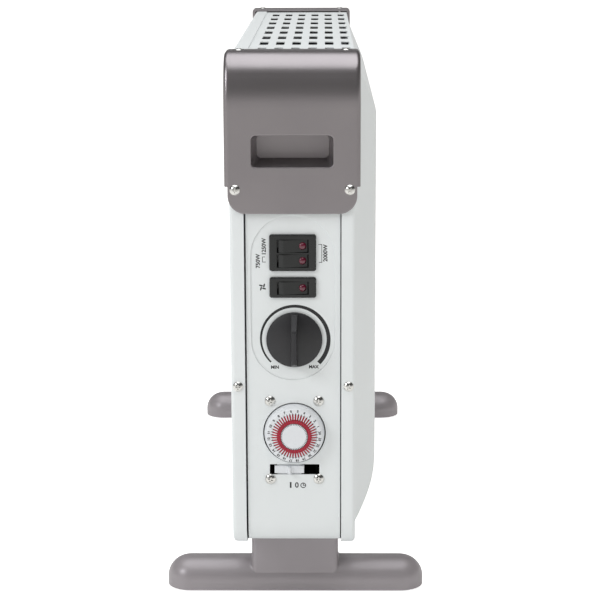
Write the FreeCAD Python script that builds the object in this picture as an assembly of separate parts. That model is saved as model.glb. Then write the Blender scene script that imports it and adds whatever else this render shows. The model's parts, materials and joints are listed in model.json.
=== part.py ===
import FreeCAD, Part
import math
import os
from FreeCAD import Vector

# Free-standing convector heater on two feet, in millimetres, +Z up.
# X runs along the length, the control end is at -X, and the bulged front faces -Y.
# The casing is two pressed trays, front and back, screwed to two end panels and a slotted base.
# A slotted grille closes the top, and a plastic cap with a finger pocket covers each top corner.
# The origin is on the floor, at the centre of the whole object's box.

# --- driving dimensions ---------------------------------------------------------------
foot_span = 200.0            # front to back, the width that stands on the floor
overall_height = 420.0
casing_length = 594.0
casing_depth = 92.0          # front face to back face, without the bulge
casing_bottom = 48.7
sheet = 0.8                  # steel thickness of the casing
inner_sheet = 0.5            # of the reflectors, brackets and shield
cap_wall = 2.8
cap_proud = 3.0              # how far a cap's end face stands out of the casing
cap_reach = 37.0             # how far a cap runs along the casing
knob_height = 17.5           # tip of the thermostat knob above the control panel

# --- casing ---------------------------------------------------------------------------
half_length = casing_length / 2
half_depth = casing_depth / 2
tray_top = overall_height - cap_wall - 0.2       # top of the back tray's strip
tray_flange = 10.5                               # width of the trays' end and bottom flanges
front_tray_flange = 3.4                          # and of the front tray's top flange, under the grille
top_strip = 11.4                                 # width of the back tray's top strip
tray_edge_radius = 3.0
bottom_corner_radius = 20.0
top_corner_radius = 34.0                         # hidden under the caps
grille_top = tray_top - sheet - 0.1              # the strip lies on the grille
front_tray_top = grille_top - sheet - 0.1
panel_step = 1.2                                 # how far an end panel sinks in between the flanges
panel_outer = half_length - sheet - panel_step   # distance of its sunk face from the middle
panel_rim_from = 36.2                            # where its rims, which the flanges cover, begin
band_half = half_depth - sheet - 0.2             # half width of the end panels and the base
panel_top = 381.0
base_level = casing_bottom + 2 * sheet + panel_step   # underside of the base plate
panel_lip = 34.0                                 # how far an end panel turns in under the base
seam_back = 1.3                                  # width of the open seam beside the back tray's flange
seam_front = 0.8                                 # and beside the front tray's flange
seam_top = 307.0                                 # hidden under the cap

bulge_depth = 17.0
bulge_top = 411.0
bulge_full_top = 371.0
bulge_full_bottom = 97.0
bulge_bottom = 55.6
bulge_start = 40.0                               # from the casing's end, along X
bulge_full = 82.0
bulge_blend = 60.0                               # radius between the bulge's faces

slot_length = 34.0
slot_width = 6.8
slot_pitch_x = 61.2
slot_pitch_y = 12.8
slot_rows = 8
slot_columns = 6
slot_field_y = -7.8                              # centre of the slot field
slot_corner = 2.2

# --- caps -----------------------------------------------------------------------------
cap_half_width = half_depth + 0.4 + cap_wall
cap_step = 324.3                                 # where the side walls end
cap_bottom = 304.5
cap_tongue_half = 46.8
cap_tongue_radius = 13.0
cap_lean = 20.0                                  # degrees the end leans in before the top corner
cap_lean_start = 392.0
cap_lean_radius = 60.0
cap_corner_radius = 22.0
cap_edge_radius = 3.4
cap_top_screw_sink = 1.2
pocket_width = 59.0
pocket_height = 23.0
pocket_centre_z = 349.8
pocket_depth = 30.0
pocket_wall = 2.0
pocket_draft = 3.0                               # how much narrower the pocket's back is, each side

# --- feet -----------------------------------------------------------------------------
foot_inset = 55.0                                # from the casing's end to a foot's middle
foot_bar_depth = 37.0
foot_bar_height = 22.8
foot_lift = 0.9                                  # the plastic's clearance above the floor
foot_wall = 3.0
neck_width = 67.0
neck_depth = 33.0
pad_radius = 8.0
pad_height = 3.2

# --- control panel, places as (y, z) ----------------------------------------------------
recess_depth = 0.8
recess_half = 30.7
recess_bottom = 179.6
recess_top = 303.0
switch_width = 34.2
switch_proud = 2.4
double_switch_z = 275.3
double_switch_height = 27.2
single_switch_z = 249.5
single_switch_height = 15.4
switch_case_half = 13.2                          # half width of the case behind the bezel
switch_rim = 1.8                                 # how far the bezel stands out past the case
rocker_length = 21.7
rocker_width = 9.2
rocker_depth = 8.0
rocker_pitch = 10.9
rocker_drop = 0.5                                # the rockers sit this far below the bezel's middle
rocker_well_half = 11.6
rocker_gap = 0.3                                 # beside a rocker, above and below
rocker_tilt = 7.0                                # degrees, each way from level
rocker_facet = 3.3                               # bevel at the end away from the lens
rocker_pivot_back = 5.0                          # pivot axis below the bezel's face
rocker_pin_radius = 1.2
lens_offset = 6.7
lens_radius = 2.8
knob_z = 210.3
knob_y = -0.9
knob_radius = 20.6
knob_gap = 1.0
shaft_radius = 3.0
bush_radius = 4.8
timer_y = -0.7
timer_z = 138.8
timer_hole_radius = 23.3
dial_radius = 22.4
dial_wall_proud = 4.0                            # how far each part of the dial stands out of the panel
dial_ring_proud = 7.8
dial_cone_proud = 8.2
dial_cone_top_proud = 10.1
hub_proud = 11.1
hub_radius = 9.8
tappet_groups = 4                                # a quarter of a day in each
tappet_back_proud = 5.5
tappet_count = 48
tappet_inner = 10.2
tappet_tab_outer = 12.5
tappet_outer = 16.4
tappet_travel = 1.4
tappet_blade = 0.95
dial_slot_outer = 16.9
dial_slot_width = 1.2
dial_recess_outer = 12.8
dial_recess_proud = 3.8
mode_slot_width = 37.0
mode_slot_height = 8.0
mode_slot_z = 110.5
slider_width = 22.0
slider_height = 5.8
slider_travel = 9.1
slider_rest_y = 3.2                              # slider's middle when it points at I
timer_case_half = 25.0
timer_case_bottom = 98.0
timer_case_top = 172.0
timer_case_depth = 27.0
gear_module = 0.8
dial_teeth = 50
pinion_teeth = 10
gear_thickness = 3.0

# --- screws ---------------------------------------------------------------------------
screw_head_radius = 3.8
screw_head_height = 2.3
screw_shank_radius = 1.8
screw_length = 8.0
cap_screw_y = 41.4
cap_screw_z = 322.1
cap_top_screw_y = 39.0
cap_top_screw_inset = 29.5                       # from the casing's end
flange_screw_y = 40.8
flange_screw_z = 175.0
timer_screw_y = 18.0
timer_screw_upper_z = 163.3
timer_screw_lower_z = 103.0

# --- inside ---------------------------------------------------------------------------
shield_x = -236.0
reflector_y = 34.0
reflector_bottom = 92.0
reflector_top = 389.0
element_half = 214.0
element_bottom = 118.0
element_top = 158.0
element_y = 13.0
coil_radius = 0.7
fan_x = 0.0
fan_radius = 31.0
fan_bottom = 61.0
fan_height = 12.0
gland_x = -246.0
gland_z = 92.0
gland_bore_radius = 3.9
gland_length = 14.0
terminal_block_x = -279.0
terminal_block_length = 26.0
lead_stub = 3.5                                  # straight end of a lead at its terminal
lead_radius = 1.3

dial_back = -panel_outer + 5.0                   # back of the dial's disc, along X
timer_wall = -panel_outer + timer_case_depth - 2

# The knob is the furthest point at the control end and a screw head at the far end, so the casing
# sits off the middle of the object's box by half of the difference.
knob_tip = panel_outer - recess_depth + knob_gap + knob_height
far_tip = half_length + cap_proud + screw_head_height
casing_shift = (knob_tip - far_tip) / 2

AXES = {
    "xy": lambda u, v, w: Vector(u, v, w),
    "xz": lambda u, v, w: Vector(u, w, v),
    "yz": lambda u, v, w: Vector(w, u, v),
}
NORMALS = {"xy": Vector(0, 0, 1), "xz": Vector(0, 1, 0), "yz": Vector(1, 0, 0)}


def box(x0, x1, y0, y1, z0, z1):
    corner = Vector(min(x0, x1), min(y0, y1), min(z0, z1))
    return Part.makeBox(abs(x1 - x0), abs(y1 - y0), abs(z1 - z0), corner)


def rod(axis, radius, start, length):
    return Part.makeCylinder(radius, length, start, axis)


def rounded_outline(plane, corners, w):
    """A closed wire through corners (u, v, radius), each rounded by its own radius."""
    place = AXES[plane]
    count = len(corners)
    stretches = []
    for i in range(count):
        before = Vector(*corners[i - 1][:2], 0)
        here = Vector(*corners[i][:2], 0)
        after = Vector(*corners[(i + 1) % count][:2], 0)
        radius = corners[i][2]
        if radius <= 0:
            stretches.append((here, None, here))
            continue
        back = (before - here).normalize()
        forth = (after - here).normalize()
        half = back.getAngle(forth) / 2
        reach = radius / math.tan(half)
        centre = here + (back + forth).normalize() * (radius / math.sin(half))
        middle = centre + (here - centre).normalize() * radius
        stretches.append((here + back * reach, middle, here + forth * reach))
    edges = []
    for i, (start, middle, end) in enumerate(stretches):
        if middle is not None:
            edges.append(Part.Arc(place(start.x, start.y, w), place(middle.x, middle.y, w),
                                  place(end.x, end.y, w)).toShape())
        following = stretches[(i + 1) % count][0]
        if end.distanceToPoint(following) > 1e-6:
            edges.append(Part.makeLine(place(end.x, end.y, w), place(following.x, following.y, w)))
    return Part.Wire(edges)


def prism(plane, corners, w0, w1):
    face = Part.Face(rounded_outline(plane, corners, w0))
    return face.extrude(NORMALS[plane] * (w1 - w0))


def rectangle(u0, u1, v0, v1, radius=0.0):
    return [(u0, v0, radius), (u1, v0, radius), (u1, v1, radius), (u0, v1, radius)]


def fuse(shapes):
    return shapes[0].multiFuse(shapes[1:]).removeSplitter()


def cut(shape, tools):
    return shape.cut(tools[0] if len(tools) == 1 else Part.makeCompound(tools))


def edges_where(shape, test):
    """The edges whose end points and middle all pass the test."""
    found = []
    for edge in shape.Edges:
        middle = edge.valueAt((edge.FirstParameter + edge.LastParameter) / 2)
        if all(test(p) for p in [v.Point for v in edge.Vertexes] + [middle]):
            found.append(edge)
    return found


def near(a, b):
    return abs(a - b) < 0.01


def mirror_x(shape):
    return shape.mirror(Vector(0, 0, 0), Vector(1, 0, 0))


def casing_outline(inset, top):
    low = casing_bottom + inset
    end = half_length - inset
    return [(-end, low, bottom_corner_radius - inset), (end, low, bottom_corner_radius - inset),
            (end, top, top_corner_radius - inset), (-end, top, top_corner_radius - inset)]


def tray_blank(inset, top, flange_from):
    """A filled front tray, shrunk by inset, from its face back to flange_from."""
    face_y = -half_depth + inset
    blank = prism("xz", casing_outline(inset, top - inset), face_y, flange_from)
    rim = edges_where(blank, lambda p: near(p.y, face_y))
    return blank.makeFillet(tray_edge_radius - inset, rim)


def bulge_blank(set_back, root):
    """The pressed bulge: its profile seen from the end, crossed with its profile seen from above."""
    full = -half_depth - bulge_depth + set_back
    base = -half_depth + set_back
    drop = bulge_full_bottom - bulge_bottom
    arc_radius = (drop ** 2 + bulge_depth ** 2) / (2 * bulge_depth)
    swing = math.asin(drop / arc_radius) / 2
    belly = Vector(0, full + arc_radius * (1 - math.cos(swing)),
                   bulge_full_bottom - arc_radius * math.sin(swing))
    slope = rounded_outline("yz", [(root, bulge_top, 0), (base, bulge_top, 0),
                                   (full, bulge_full_top, 30), (full, bulge_full_bottom, 0),
                                   (root, bulge_full_bottom, 0)], -half_length)
    upper = Part.Face(slope).extrude(Vector(2 * half_length, 0, 0))
    lower_edges = [
        Part.Arc(Vector(-half_length, full, bulge_full_bottom), Vector(-half_length, belly.y, belly.z),
                 Vector(-half_length, base, bulge_bottom)).toShape(),
        Part.makeLine(Vector(-half_length, base, bulge_bottom), Vector(-half_length, root, bulge_bottom)),
        Part.makeLine(Vector(-half_length, root, bulge_bottom),
                      Vector(-half_length, root, bulge_full_bottom)),
        Part.makeLine(Vector(-half_length, root, bulge_full_bottom),
                      Vector(-half_length, full, bulge_full_bottom)),
    ]
    lower = Part.Face(Part.Wire(lower_edges)).extrude(Vector(2 * half_length, 0, 0))
    outer_x = half_length - bulge_start
    full_x = half_length - bulge_full
    plan = [(-outer_x, root, 0), (-outer_x, base, 0), (-full_x, full, bulge_blend),
            (full_x, full, bulge_blend), (outer_x, base, 0), (outer_x, root, 0)]
    return fuse([upper, lower]).common(prism("xy", plan, casing_bottom, overall_height))


def screw_holes(places, direction, depth=6.0, radius=screw_shank_radius + 0.2):
    return [rod(direction, radius, Vector(*p) - direction * (depth / 2), depth) for p in places]


def flange_screw_places(side):
    """Screw seats on the end flanges; side is -1 at the control end, 1 at the far end."""
    return [(side * half_length, y, flange_screw_z) for y in (-flange_screw_y, flange_screw_y)]


def cap_screw_places(side):
    return [(side * (half_length + cap_proud), y, cap_screw_z) for y in (-cap_screw_y, cap_screw_y)]


def cap_top_screw_places(side):
    x = side * (half_length - cap_top_screw_inset)
    return [(x, y, overall_height - cap_top_screw_sink) for y in (-cap_top_screw_y, cap_top_screw_y)]


def end_screw_holes():
    tools = []
    for side in (-1, 1):
        tools += screw_holes(flange_screw_places(side) + cap_screw_places(side), Vector(1, 0, 0), 14)
        tools += screw_holes(cap_top_screw_places(side), Vector(0, 0, 1), 14)
    return tools


def front_panel():
    solid = tray_blank(0, front_tray_top, -half_depth + tray_flange)
    solid = fuse([solid, bulge_blank(0, -half_depth + 2)])
    hollow = fuse([tray_blank(sheet, front_tray_top, -half_depth + tray_flange + 1),
                   bulge_blank(sheet * 1.1, -half_depth + 2 + sheet)])
    # The top flange is narrower, so that it only shows through the grille's front column.
    end = half_length - top_corner_radius - 2
    trim = box(-end, end, -half_depth + front_tray_flange, -half_depth + tray_flange + 5,
               front_tray_top - 5, front_tray_top + 1)
    return cut(solid.cut(hollow), [trim] + end_screw_holes())


def back_panel():
    solid = tray_blank(0, tray_top, -half_depth + top_strip)
    solid = solid.cut(tray_blank(sheet, tray_top, -half_depth + top_strip + 1))
    # Only the top strip keeps its full width; the other flanges are narrower.
    trim_y = -half_depth + tray_flange
    trim = box(-half_length - 1, half_length + 1, trim_y, trim_y + 5, casing_bottom - 1, tray_top - 30)
    gland_hole = rod(Vector(0, 1, 0), gland_flange_radius() - 2.5,
                     Vector(-gland_x, -half_depth - 2, gland_z), 6)
    tray = cut(solid, [trim, gland_hole] + end_screw_holes())
    return tray.rotate(Vector(0, 0, 0), Vector(0, 0, 1), 180)


def slot_field(z0, z1, rows, columns, centre_y):
    half_x, half_y = slot_length / 2, slot_width / 2
    tools = []
    for row in range(rows):
        x = (row - (rows - 1) / 2) * slot_pitch_x
        for column in range(columns):
            y = centre_y + (column - (columns - 1) / 2) * slot_pitch_y
            outline = rectangle(x - half_x, x + half_x, y - half_y, y + half_y, slot_corner)
            tools.append(prism("xy", outline, z0, z1))
    return tools


def top_grille():
    """The slotted top plate, with a short skirt at the back that hangs inside the back tray."""
    end = half_length - top_corner_radius - 1
    back = half_depth - sheet - 0.3
    skirt = 9.0
    profile = [(-half_depth, grille_top - sheet, 0), (-half_depth, grille_top, 0.5), (back, grille_top, 1.6),
               (back, grille_top - skirt, 0), (back - sheet, grille_top - skirt, 0),
               (back - sheet, grille_top - sheet, 0.8)]
    plate = prism("yz", profile, -end, end)
    tools = slot_field(grille_top - 2, grille_top + 1, slot_rows, slot_columns, slot_field_y)
    return cut(plate, tools + end_screw_holes())


def base_plate():
    end = half_length - panel_lip + 12
    side = band_half - 0.5
    plate = box(-end, end, -side, side, base_level, base_level + sheet)
    tools = slot_field(base_level - 1, base_level + 2, 6, 5, 0)
    for x, y in foot_screw_spots():
        tools.append(rod(Vector(0, 0, 1), screw_shank_radius + 0.2, Vector(x, y, base_level - 2), 5))
    return cut(plate, tools)


def tray_filling():
    """The space inside the closed trays, rounded a little more than they are, which trims the end panels."""
    side = half_depth - sheet
    block = prism("xz", casing_outline(sheet, front_tray_top), -side, side)
    return block.makeFillet(tray_edge_radius - sheet + 0.2, edges_where(block, lambda p: near(abs(p.y), side)))


def panel_sheet(set_back, thickness, half_width):
    """A bent strip inside the end flanges: down the end, round the bottom corner and in under the base."""
    outer = -half_length + sheet + set_back
    low = casing_bottom + sheet + set_back
    lip = -half_length + panel_lip
    bend = bottom_corner_radius - sheet - set_back
    profile = [(outer, panel_top, 0), (outer, low, bend), (lip, low, 0), (lip, low + thickness, 0),
               (outer + thickness, low + thickness, bend - thickness), (outer + thickness, panel_top, 0)]
    return prism("xz", profile, -half_width, half_width)


def end_panel_blank():
    """An end panel at the control end: two rims under the flanges and a band sunk between them."""
    rims = panel_sheet(0, panel_step + sheet, band_half).cut(panel_sheet(0, panel_step + sheet, panel_rim_from))
    inner_side = panel_sheet(sheet, panel_step + 2 * sheet, band_half)
    rims = cut(rims, [inner_side.cut(panel_sheet(sheet, panel_step + 2 * sheet, panel_rim_from + sheet))])
    band = panel_sheet(panel_step, sheet, panel_rim_from + sheet)
    panel = fuse([rims, band]).common(tray_filling())
    outer = -panel_outer
    pocket = prism("yz", rectangle(-pocket_width / 2 - 3, pocket_width / 2 + 3, pocket_centre_z - 15.5,
                                   pocket_centre_z + 15.5, 5), outer - 3, outer + 2)
    # The band is free of its rims along an open seam beside each flange.
    flange_edge = half_depth - tray_flange
    seams = [box(-half_length - 1, -half_length + panel_lip + 1, y, y + width, base_level + 1.5, seam_top)
             for y, width in ((flange_edge - seam_back, seam_back), (-flange_edge, seam_front))]
    return cut(panel, [pocket] + seams + end_screw_holes())


def stadium(inset):
    half = recess_half - inset
    return rectangle(-half, half, recess_bottom + inset, recess_top - inset, half - 0.01)


def control_end_panel():
    outer = -panel_outer
    panel = fuse([end_panel_blank(), prism("yz", stadium(-sheet), outer, outer + recess_depth + sheet)])
    pressing = prism("yz", stadium(0), outer - 1, outer + recess_depth)
    panel = panel.cut(pressing)
    rim = edges_where(panel, lambda p: near(p.x, outer) and recess_bottom - 0.1 < p.z < recess_top + 0.1
                      and abs(p.y) < recess_half + 0.1)
    panel = panel.makeFillet(0.5, [e for e in rim if e.Length > 50])
    holes = [switch_opening(double_switch_z, double_switch_height, outer - 1, outer + 3, 0.2),
             switch_opening(single_switch_z, single_switch_height, outer - 1, outer + 3, 0.2),
             rod(Vector(1, 0, 0), bush_radius + 0.2, Vector(outer - 1, knob_y, knob_z), 4),
             rod(Vector(1, 0, 0), screw_shank_radius + 0.2, Vector(outer - 1, knob_y - 12, knob_z), 4),
             rod(Vector(1, 0, 0), screw_shank_radius + 0.2, Vector(outer - 1, knob_y + 12, knob_z), 4),
             rod(Vector(1, 0, 0), timer_hole_radius, Vector(outer - 1, timer_y, timer_z), 4),
             prism("yz", rectangle(timer_y - mode_slot_width / 2, timer_y + mode_slot_width / 2,
                                   mode_slot_z - mode_slot_height / 2, mode_slot_z + mode_slot_height / 2, 0.6),
                   outer - 1, outer + 3)]
    holes += screw_holes(timer_screw_places(), Vector(1, 0, 0))
    return cut(panel, holes)


def far_end_panel():
    return mirror_x(end_panel_blank())


def cap_block(inset, low, edge, half_width):
    """The cap's outside, or its hollow when inset by the wall: upright, leaning in, then round to the top."""
    face = -half_length - cap_proud + inset
    top = overall_height - inset
    lean = math.radians(cap_lean)
    # Both leaning lines are the same line set back, so the wall keeps its thickness.
    start = cap_lean_start - inset * math.tan(lean / 2)
    shoulder = face + (top - start) * math.tan(lean)
    block = prism("xz", [(face, low, 0), (edge, low, 0), (edge, top, 0),
                         (shoulder, top, cap_corner_radius - inset),
                         (face, start, cap_lean_radius - inset)], -half_width, half_width)
    rim = edges_where(block, lambda p: near(abs(p.y), half_width) and p.x < edge - 0.1 and p.z > low + 0.1)
    return block.makeFillet(cap_edge_radius - inset, rim)


def end_cap():
    """The control end's cap: a shell over the casing's top corner, a tongue down the end and a pocket."""
    face = -half_length - cap_proud
    inner = face + cap_wall
    edge = -half_length + cap_reach
    outer_block = cap_block(0, cap_step, edge, cap_half_width)
    hollow = cap_block(cap_wall, cap_step - 1, edge + 1, cap_half_width - cap_wall)
    tongue = prism("yz", [(-cap_tongue_half, cap_bottom, cap_tongue_radius),
                          (cap_tongue_half, cap_bottom, cap_tongue_radius),
                          (cap_tongue_half, cap_step + 8, 0), (-cap_tongue_half, cap_step + 8, 0)], face, inner)
    rim = edges_where(tongue, lambda p: near(p.x, face) and p.z < cap_step + 7.9)
    tongue = tongue.makeFillet(0.8, [e for e in rim if e.Length < 90])
    shell = fuse([outer_block.cut(hollow), tongue])
    shell = fuse([shell, pocket_block(pocket_wall, inner)])
    mouth = pocket_block(0, face - 1)
    shell = shell.cut(mouth)
    lip = edges_where(shell, lambda p: near(p.x, face) and abs(p.y) < pocket_width / 2 + 1
                      and abs(p.z - pocket_centre_z) < pocket_height / 2 + 1)
    shell = shell.makeFillet(0.9, lip)
    seats = [rod(Vector(0, 0, 1), screw_head_radius + 0.4, Vector(*p), 4) for p in cap_top_screw_places(-1)]
    return cut(shell, seats + end_screw_holes())


def pocket_block(grow, start):
    """The finger pocket's inside, or its outside when grown by a wall; it narrows towards its back."""
    face = -half_length - cap_proud
    back = face + pocket_depth + grow
    wires = []
    for x, draft in ((start, (start - face) / pocket_depth * pocket_draft), (back, pocket_draft)):
        half_width = pocket_width / 2 - draft + grow
        half_height = pocket_height / 2 - draft + grow
        wires.append(rounded_outline("yz", rectangle(-half_width, half_width, pocket_centre_z - half_height,
                                                     pocket_centre_z + half_height, 3.5), x))
    return Part.makeLoft(wires, True, True)


def foot_screw_spots():
    return [(side * (half_length - foot_inset), y) for side in (-1, 1) for y in (-22, 22)]


def foot_block(inset, floor):
    """A T-shaped foot at x = 0, shrunk by inset: a domed bar under a square neck."""
    half_bar = foot_bar_depth / 2 - inset
    reach = foot_span / 2 - inset
    top = foot_bar_height - inset
    bar = prism("xy", rectangle(-half_bar, half_bar, -reach, reach, half_bar - 0.01), floor, top)
    crown = edges_where(bar, lambda p: near(p.z, top))
    bar = bar.makeFillet(half_bar * 0.86, crown)
    neck_half_x = neck_depth / 2 - inset
    neck_half_y = neck_width / 2 - inset
    neck = prism("xy", rectangle(-neck_half_x, neck_half_x, -neck_half_y, neck_half_y, 4 - inset / 2),
                 foot_lift + 3, base_level - inset)
    return bar, neck


def foot():
    bar, neck = foot_block(0, foot_lift)
    inner_bar, inner_neck = foot_block(foot_wall, foot_lift - 1)
    solid = fuse([bar, neck])
    root = edges_where(solid, lambda p: foot_lift + 4 < p.z < foot_bar_height + 0.1
                       and near(abs(p.y), neck_width / 2))
    solid = solid.makeFillet(2.0, root)
    shell = cut(solid, [fuse([inner_bar, inner_neck])])
    bosses = [rod(Vector(0, 0, 1), pad_radius + 2, Vector(0, y, foot_lift), foot_bar_height).common(bar)
              for y in (-foot_span / 2 + 20, foot_span / 2 - 20)]
    shell = fuse([shell] + bosses)
    seats = [rod(Vector(0, 0, 1), pad_radius, Vector(0, y, -1), pad_height + 1)
             for y in (-foot_span / 2 + 20, foot_span / 2 - 20)]
    holes = [rod(Vector(0, 0, 1), screw_shank_radius + 0.2, Vector(0, y, base_level - 8), 10)
             for y in (-22, 22)]
    return cut(shell, seats + holes)


def place_foot(side):
    return foot().translate(Vector(side * (half_length - foot_inset), 0, 0))


def foot_pads():
    pads = []
    for side in (-1, 1):
        for y in (-foot_span / 2 + 20, foot_span / 2 - 20):
            x = side * (half_length - foot_inset)
            pad = rod(Vector(0, 0, 1), pad_radius - 0.1, Vector(x, y, 0), pad_height)
            pads.append(pad.makeFillet(0.6, edges_where(pad, lambda p: near(p.z, 0))))
    return Part.makeCompound(pads)


def screw(seat, outward, length=screw_length, head=screw_head_radius, height=screw_head_height):
    """A pan-head cross-recess screw whose head sits on seat and points outward."""
    dome_radius = (head ** 2 + height ** 2) / (2 * height) + 0.6
    body = Part.makeCylinder(head, height, Vector(0, 0, 0))
    dome = Part.makeSphere(dome_radius, Vector(0, 0, height - dome_radius))
    body = body.common(dome)
    shank = Part.makeCylinder(screw_shank_radius, length, Vector(0, 0, -length))
    point = Part.makeCone(0.3, screw_shank_radius, 2.0, Vector(0, 0, -length - 2.0))
    whole = fuse([body, shank, point])
    arm = head * 0.95
    cross = [prism("xy", rectangle(-arm / 2, arm / 2, -0.45, 0.45, 0.2), height * 0.45, height + 1),
             prism("xy", rectangle(-0.45, 0.45, -arm / 2, arm / 2, 0.2), height * 0.45, height + 1)]
    whole = cut(whole, cross)
    # Each screw stops at its own angle, as screws do.
    whole.rotate(Vector(0, 0, 0), Vector(0, 0, 1), (seat[1] * 7 + seat[2] * 3) % 90)
    whole.Placement = FreeCAD.Placement(Vector(*seat), FreeCAD.Rotation(Vector(0, 0, 1), outward)).multiply(
        whole.Placement)
    return whole


def cap_screws(side):
    outward = Vector(side, 0, 0)
    return Part.makeCompound([screw(p, outward) for p in cap_screw_places(side)]
                             + [screw(p, Vector(0, 0, 1), 7) for p in cap_top_screw_places(side)])


def flange_screws():
    return Part.makeCompound([screw(p, Vector(side, 0, 0), 6) for side in (-1, 1)
                              for p in flange_screw_places(side)])


def timer_screw_places():
    return [(-panel_outer, timer_y + dy, z) for dy in (-timer_screw_y, timer_screw_y)
            for z in (timer_screw_lower_z, timer_screw_upper_z)]


def timer_screws():
    return Part.makeCompound([screw(p, Vector(-1, 0, 0), 5, 4.0) for p in timer_screw_places()])


def foot_screws():
    return Part.makeCompound([screw((x, y, base_level - foot_wall), Vector(0, 0, -1), 7)
                              for x, y in foot_screw_spots()])


def control_face():
    return -panel_outer + recess_depth


def switch_opening(centre_z, height, x0, x1, spare=0.0):
    """The block that a switch's case fills, or its hole in the panel when some clearance is added."""
    half_y = switch_case_half + spare
    half_z = height / 2 - switch_rim + spare
    return prism("yz", rectangle(-half_y, half_y, centre_z - half_z, centre_z + half_z, 0.8), x0, x1)


def switch_housing(centre_z, height, rocker_heights):
    """A snap-in rocker switch body: a bezel on the panel and a case behind it, with a well per rocker."""
    face = control_face()
    front = face - switch_proud
    bezel = prism("yz", rectangle(-switch_width / 2, switch_width / 2, centre_z - height / 2,
                                  centre_z + height / 2, 1.8), front, face)
    bezel = bezel.makeFillet(1.1, edges_where(bezel, lambda p: near(p.x, front)))
    body = fuse([bezel, switch_opening(centre_z, height, face, face + 20)])
    half_z = rocker_width / 2 + rocker_gap
    well_floor = front + rocker_depth + 3
    wells = [box(front - 1, well_floor, -rocker_well_half, rocker_well_half, z - half_z, z + half_z)
             for z in rocker_heights]
    low, high = min(rocker_heights) - half_z - 0.6, max(rocker_heights) + half_z + 0.6
    pin_hole = rod(Vector(0, 0, 1), rocker_pin_radius + 0.06,
                   Vector(front + rocker_pivot_back, 0, low), high - low)
    return cut(body, wells + [pin_hole])


def rocker(z):
    """A rocker pressed in at its lens end, its bevelled end standing out; it turns on two short pins."""
    front = control_face() - switch_proud
    half = rocker_length / 2
    # Depths are measured from the bezel's face, positive inwards.
    profile = [(-half, 0.6, 0.6), (half - rocker_facet, -0.3, 0.5), (half, 1.5, 0.5), (half - 0.4, 5.0, 2),
               (3, rocker_depth, 2), (-3, rocker_depth, 2), (-half + 0.4, 5.0, 2)]
    body = prism("xy", [(front + d, u, r) for u, d, r in profile], z - rocker_width / 2, z + rocker_width / 2)
    pin_half = rocker_width / 2 + 0.65
    pin_end = Vector(front + rocker_pivot_back, 0, z - pin_half)
    pins = rod(Vector(0, 0, 1), rocker_pin_radius, pin_end, 2 * pin_half)
    seat = rod(Vector(1, 0, 0), lens_radius, Vector(front - 4, -lens_offset, z), 7)
    body = cut(fuse([body, pins]), [seat])
    return tilt(body, z)


def tilt(shape, z):
    pivot = Vector(control_face() - switch_proud + rocker_pivot_back, 0, z)
    return shape.rotate(pivot, Vector(0, 0, 1), rocker_tilt)


def rocker_lens(z):
    front = control_face() - switch_proud
    back = front + 3
    barrel = rod(Vector(1, 0, 0), lens_radius, Vector(front + 0.6, -lens_offset, z), back - front - 0.6)
    dome_radius = lens_radius * 1.15
    centre = Vector(front + 0.6 + math.sqrt(dome_radius ** 2 - lens_radius ** 2), -lens_offset, z)
    dome = Part.makeSphere(dome_radius, centre).common(
        box(front - 5, front + 0.6, -lens_offset - 5, -lens_offset + 5, z - 5, z + 5))
    return tilt(fuse([barrel, dome]), z)


def switch_tabs():
    """Spade terminals at the back of both switches."""
    back = control_face() + 20
    tabs = []
    for z in (double_switch_z - rocker_pitch / 2, double_switch_z + rocker_pitch / 2, single_switch_z):
        for y in (-8, 0, 8):
            tabs.append(prism("xz", rectangle(back, back + 8, z - 2.4, z + 2.4, 0.8), y - 0.4, y + 0.4))
    return Part.makeCompound(tabs)


def thermostat_body():
    back = control_face() + sheet
    case = prism("yz", rectangle(knob_y - 19, knob_y + 19, knob_z - 14, knob_z + 14, 2), back, back + 17)
    bush = rod(Vector(1, 0, 0), bush_radius, Vector(back - sheet - 1.2, knob_y, knob_z), sheet + 1.2 + 2)
    arms = [prism("xz", rectangle(back + 17, back + 25, knob_z + dz - 2.4, knob_z + dz + 2.4, 0.8),
                  knob_y + y - 0.4, knob_y + y + 0.4) for y, dz in ((-14, 7), (14, 7), (0, -10))]
    bore = rod(Vector(1, 0, 0), shaft_radius + 0.05, Vector(back - 4, knob_y, knob_z), 16)
    threads = [rod(Vector(1, 0, 0), screw_shank_radius + 0.05, Vector(back - 1, knob_y + dy, knob_z), 8)
               for dy in (-12, 12)]
    return cut(fuse([case, bush] + arms), [bore] + threads)


def thermostat_shaft():
    """The spindle, with a flat where the knob grips it."""
    tip = control_face() - knob_gap - 5.2
    inner = control_face() + sheet + 11
    shaft = rod(Vector(1, 0, 0), shaft_radius, Vector(tip, knob_y, knob_z), inner - tip)
    flat = box(tip - 1, tip + 4, knob_y - 4, knob_y + 4, knob_z + shaft_radius - 1.2, knob_z + 5)
    return shaft.cut(flat)


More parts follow.
